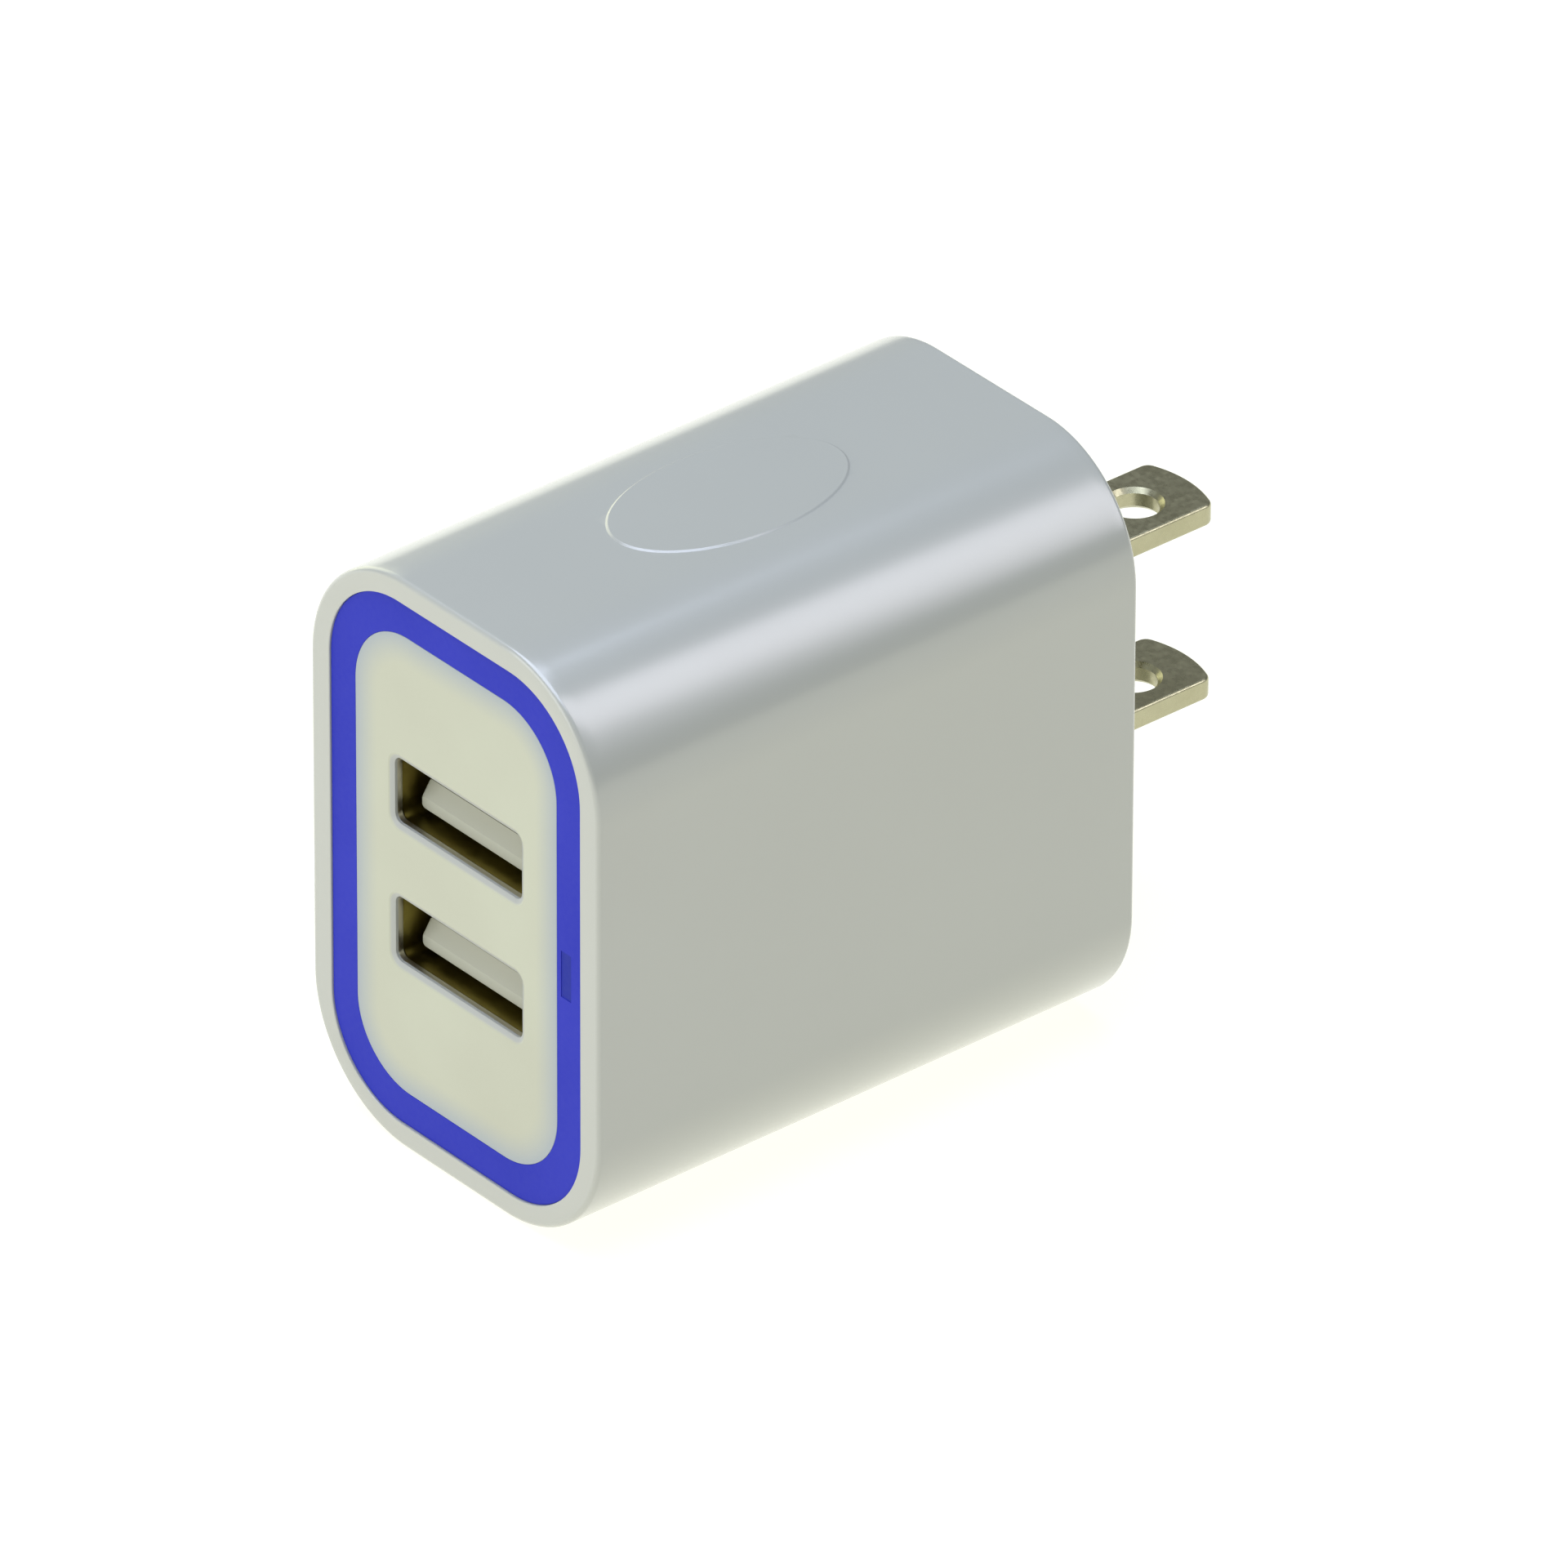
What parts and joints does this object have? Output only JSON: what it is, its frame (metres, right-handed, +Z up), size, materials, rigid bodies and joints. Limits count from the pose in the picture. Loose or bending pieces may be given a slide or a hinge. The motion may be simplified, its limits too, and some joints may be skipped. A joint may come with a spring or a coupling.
{
  "type": "usb wall charger",
  "caption": "Compact rounded-block wall charger with a blue light ring round an ivory panel of stacked USB-A ports and flat outlet blades with holes at the back.",
  "frame": {"origin": "centre of the outlet face, midway between the two blades", "axes": "+Y runs out of the outlet face along the blades, -Y out of the USB ports, +Z up, +X to the right seen from the port side"},
  "size_m": [0.0276, 0.059, 0.0411],
  "materials": {
    "white_housing": "smooth glossy white",
    "ivory_panel": "smooth ivory",
    "blue_ring": "saturated translucent blue",
    "clear_guide": "clear light guide",
    "led": "phosphor-filled lens",
    "plated_steel": "nickel-plated sheet",
    "white_insulator": "satin white",
    "gold_contact": "gold flashed",
    "board": "green solder mask",
    "solder": "bright solder",
    "chip_body": "moulded black",
    "ferrite": "matt dark grey",
    "dark_plastic": "matt black",
    "copper": "enamelled copper wire",
    "tape": "yellow polyester tape",
    "can_metal": "bright can",
    "input_sleeve": "dark blue shrink sleeve",
    "output_sleeve": "dark green shrink sleeve",
    "resistor_coat": "matt flameproof coating",
    "disc_coat": "dipped blue coating",
    "chip_capacitor": "bare ceramic",
    "sheet": "insulating sheet",
    "nickel_blade": "nickel-plated brass",
    "brass_strap": "plain brass strip"
  },
  "bodies": {
    "charger": {"housing": "white_housing", "front_panel": "ivory_panel", "light_ring": "blue_ring", "light_guides": "clear_guide", "indicator_leds": "led", "upper_port_shell": "plated_steel", "lower_port_shell": "plated_steel", "upper_port_tongue": "white_insulator", "lower_port_tongue": "white_insulator", "upper_port_pins": "gold_contact", "lower_port_pins": "gold_contact", "port_board": "board", "port_board_solder": "solder", "port_controller": "chip_body", "board_link_pins": "gold_contact", "main_board": "board", "core_front_half": "ferrite", "core_rear_half": "ferrite", "transformer_bobbin": "dark_plastic", "transformer_winding": "copper", "transformer_tape": "tape", "input_capacitor_cans": "can_metal", "input_capacitor_sleeves": "input_sleeve", "output_capacitor_cans": "can_metal", "output_capacitor_sleeves": "output_sleeve", "bridge_rectifier": "chip_body", "fusible_resistor": "resistor_coat", "resistor_leads": "solder", "safety_capacitor": "disc_coat", "inductor_core": "ferrite", "inductor_winding": "copper", "switching_controller": "chip_body", "output_diode": "chip_body", "chip_resistors": "chip_body", "chip_capacitors": "chip_capacitor", "main_board_solder": "solder", "insulation_sheet": "sheet", "blade_carrier": "dark_plastic", "upper_blade": "nickel_blade", "lower_blade": "nickel_blade", "upper_blade_strap": "brass_strap", "lower_blade_strap": "brass_strap"},
    "upper_contact_springs": {"upper_port_contacts": "gold_contact"},
    "lower_contact_springs": {"lower_port_contacts": "gold_contact"}
  },
  "joints": [
    {"name": "upper_contact_bend", "type": "hinge", "parent": "charger", "child": "upper_contact_springs", "pos_m": [0, -0.033, 0.0044], "axis": [1, 0, 0], "range_deg": [0, 3.2], "stiffness_Nm_per_rad": 0.2},
    {"name": "lower_contact_bend", "type": "hinge", "parent": "charger", "child": "lower_contact_springs", "pos_m": [0, -0.033, -0.0056], "axis": [1, 0, 0], "range_deg": [0, 3.2], "stiffness_Nm_per_rad": 0.2}
  ]
}
